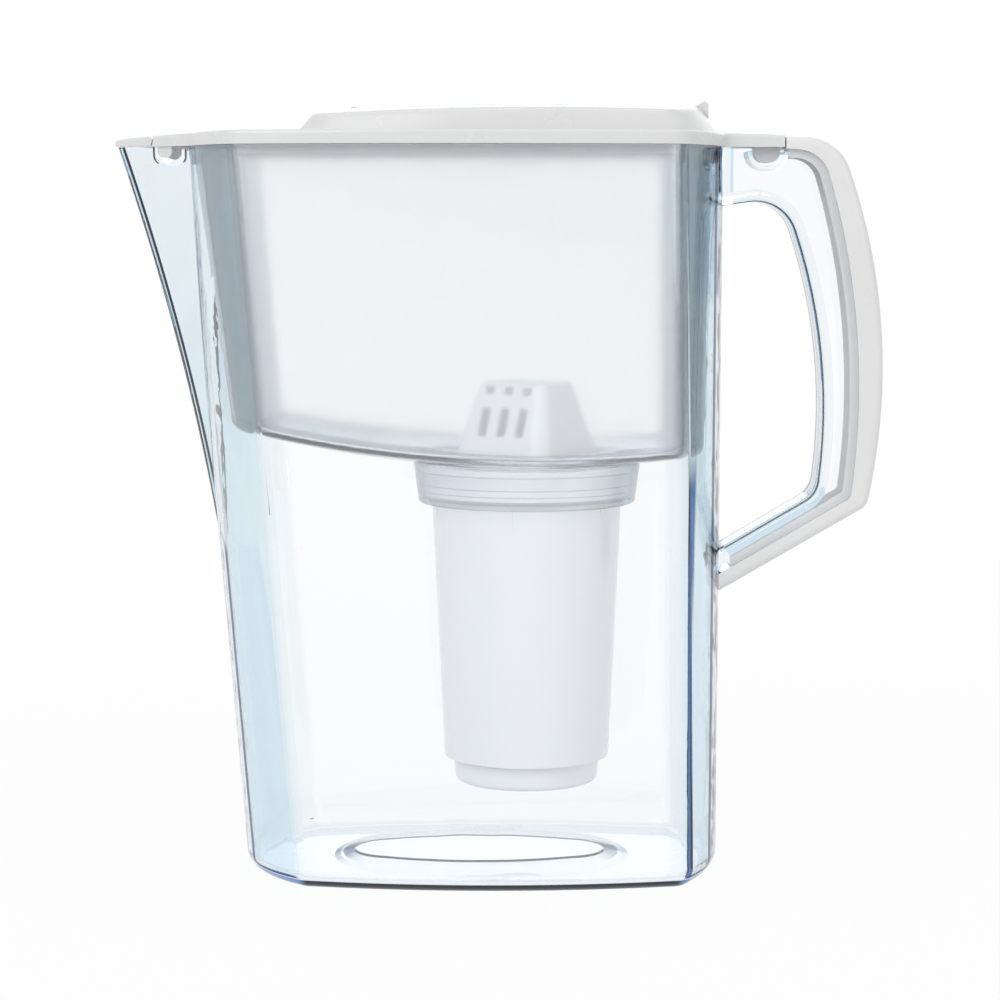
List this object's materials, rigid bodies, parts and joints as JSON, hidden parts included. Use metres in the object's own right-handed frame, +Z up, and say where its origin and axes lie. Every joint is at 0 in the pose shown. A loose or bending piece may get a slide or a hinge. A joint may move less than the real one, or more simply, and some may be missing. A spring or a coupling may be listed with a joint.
{
  "type": "water filter pitcher",
  "caption": "Clear pitcher with a pouring beak and a loop handle, a hung funnel with a drop-in filter cartridge, and a domed lid with a filling flap and a beak flap.",
  "frame": {"origin": "on the table, under the middle of the pitcher's length and width", "axes": "+Z up from the table, +X from the beak to the handle, +Y across the pitcher, away from the viewer of the picture"},
  "size_m": [0.2638, 0.1108, 0.2651],
  "materials": {
    "clear_jug": "clear, pale blue in the thick parts, polished",
    "white_cover": "warm white, satin gloss",
    "frosted_hopper": "frosted, translucent",
    "white_lid": "warm white, glossy",
    "white_flap": "warm white, glossy",
    "filter_case": "white, smooth",
    "filter_hood": "white, smooth",
    "seal": "soft, matt",
    "granules": "loose granules",
    "mesh": "fine woven mesh"
  },
  "bodies": {
    "jug": {"jug_body": "clear_jug", "handle_cover": "white_cover"},
    "hopper": {"hopper": "frosted_hopper"},
    "lid": {"lid_frame": "white_lid"},
    "flip_lid": {"flip_lid": "white_flap"},
    "spout_flap": {"spout_flap": "white_flap"},
    "cartridge": {"cartridge_body": "filter_case", "cartridge_cap": "filter_hood", "cartridge_foot": "filter_case", "cartridge_seal": "seal", "sorbent_bed": "granules", "inlet_screen": "mesh", "outlet_screen": "mesh"}
  },
  "joints": [
    {"name": "hopper_lift", "type": "slide", "parent": "jug", "child": "hopper", "axis": [0, 0, 1], "range_m": [0, 0.22]},
    {"name": "lid_lift", "type": "slide", "parent": "hopper", "child": "lid", "axis": [0, 0, 1], "range_m": [0, 0.08]},
    {"name": "cartridge_lift", "type": "slide", "parent": "hopper", "child": "cartridge", "axis": [0, 0, 1], "range_m": [0, 0.08]},
    {"name": "flip_lid_hinge", "type": "hinge", "parent": "lid", "child": "flip_lid", "pos_m": [-0.052, 0, 0.2602], "axis": [0, -1, 0], "range_deg": [0, 88]},
    {"name": "spout_flap_hinge", "type": "hinge", "parent": "lid", "child": "spout_flap", "pos_m": [-0.1194, 0, 0.25148], "axis": [0, 1, 0], "range_deg": [0, 75]}
  ]
}
